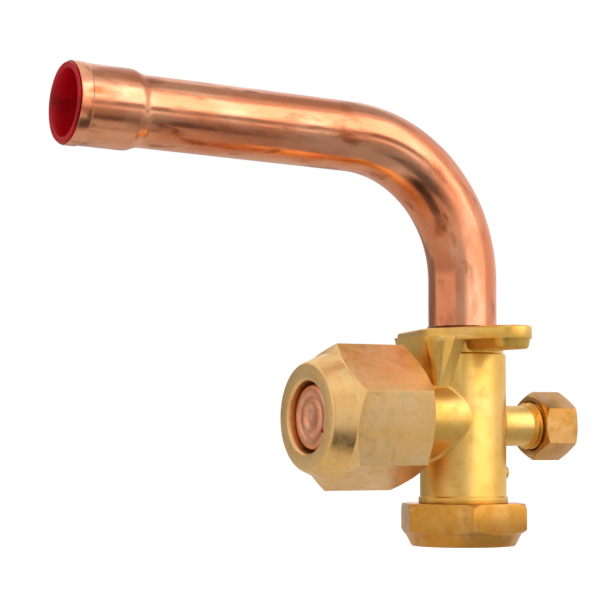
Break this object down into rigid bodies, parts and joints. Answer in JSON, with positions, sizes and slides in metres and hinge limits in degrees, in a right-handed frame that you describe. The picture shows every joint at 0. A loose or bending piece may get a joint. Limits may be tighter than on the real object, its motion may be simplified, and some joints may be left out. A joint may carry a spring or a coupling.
{
  "type": "refrigerant service valve",
  "caption": "Brass stop valve with a bent copper stub tube, flare port with nut, capped service port, capped key-operated stem and an eared flange.",
  "frame": {"origin": "centre of the flange's mounting face, on the barrel's axis, midway between the two screw holes", "axes": "+Z out of the mounting face along the copper riser, -X out of the flare port, +X out of the service port, Y through both ears"},
  "size_m": [0.1281, 0.048, 0.105],
  "materials": {
    "body_brass": "forged brass, machined and bright-dipped",
    "tube_copper": "drawn copper tube, bright with heat-tinted streaks",
    "braze_alloy": "copper-phosphorus braze",
    "plug_plastic": "moulded polyethylene, deep red",
    "nut_brass": "forged brass, matt shot-blasted",
    "bonnet_copper": "annealed copper sheet, drawn",
    "stem_brass": "turned brass",
    "seal_rubber": "black neoprene",
    "spring_steel": "phosphated spring steel",
    "cap_brass": "forged brass, satin",
    "gasket_plastic": "white plastic sealing washer",
    "service_cap_brass": "turned brass, satin",
    "gasket_rubber": "black rubber",
    "core_brass": "turned brass",
    "core_plastic": "white fluoroplastic ring",
    "core_steel": "stainless steel"
  },
  "bodies": {
    "valve": {"valve_body": "body_brass", "elbow_tube": "tube_copper", "braze_ring": "braze_alloy", "stem_retaining_ring": "spring_steel", "core_plug": "core_brass", "core_barrel": "core_brass", "core_seal": "core_plastic", "spring_seat": "core_brass", "core_spring": "core_steel"},
    "bonnet": {"sealing_bonnet": "bonnet_copper"},
    "nut": {"flare_nut": "nut_brass"},
    "stem_seals": {"stem_o_ring_inner": "seal_rubber", "stem_o_ring_outer": "seal_rubber"},
    "stem": {"valve_stem": "stem_brass"},
    "stem_cap_washer": {"stem_cap_gasket": "gasket_plastic"},
    "stem_cap": {"stem_cap": "cap_brass"},
    "service_cap_washer": {"service_cap_gasket": "gasket_rubber"},
    "service_cap": {"service_cap": "service_cap_brass"},
    "pin": {"core_pin": "core_steel", "core_poppet": "core_brass", "poppet_seal": "seal_rubber"},
    "plug": {"tube_plug": "plug_plastic"}
  },
  "joints": [
    {"name": "nut_travel", "type": "slide", "parent": "valve", "child": "bonnet", "axis": [-1, 0, 0], "range_m": [0, 0.01]},
    {"name": "nut_turn", "type": "hinge", "parent": "bonnet", "child": "nut", "pos_m": [-0.0306, 0, -0.0206], "axis": [-1, 0, 0], "range_deg": [0, 1984.2]},
    {"name": "stem_travel", "type": "slide", "parent": "valve", "child": "stem_seals", "axis": [0, 0, -1], "range_m": [0, 0.005]},
    {"name": "stem_turn", "type": "hinge", "parent": "stem_seals", "child": "stem", "pos_m": [0, 0, -0.03], "axis": [0, 0, -1], "range_deg": [0, 1440]},
    {"name": "stem_cap_travel", "type": "slide", "parent": "valve", "child": "stem_cap_washer", "axis": [0, 0, -1], "range_m": [0, 0.0075]},
    {"name": "stem_cap_turn", "type": "hinge", "parent": "stem_cap_washer", "child": "stem_cap", "pos_m": [0, 0, -0.045], "axis": [0, 0, -1], "range_deg": [0, 2699.9]},
    {"name": "service_cap_travel", "type": "slide", "parent": "valve", "child": "service_cap_washer", "axis": [1, 0, 0], "range_m": [0, 0.0075]},
    {"name": "service_cap_turn", "type": "hinge", "parent": "service_cap_washer", "child": "service_cap", "pos_m": [0.0235, 0, -0.0223], "axis": [1, 0, 0], "range_deg": [0, 2125.9]},
    {"name": "pin_press", "type": "slide", "parent": "valve", "child": "pin", "axis": [-1, 0, 0], "range_m": [0, 0.0014], "stiffness_N_per_m": 1500, "springref_m": -0.002, "deforming": ["core_spring"]},
    {"name": "plug_pull", "type": "slide", "parent": "valve", "child": "plug", "axis": [-0.9989, 0.0279, 0.0384], "range_m": [0, 0.012]}
  ],
  "couplings": [
    {"joint": "nut_travel", "follows": "nut_turn", "m_per_rad": 0.00028875},
    {"joint": "stem_travel", "follows": "stem_turn", "m_per_rad": 0.00019894},
    {"joint": "stem_cap_travel", "follows": "stem_cap_turn", "m_per_rad": 0.00015915},
    {"joint": "service_cap_travel", "follows": "service_cap_turn", "m_per_rad": 0.00020213}
  ]
}
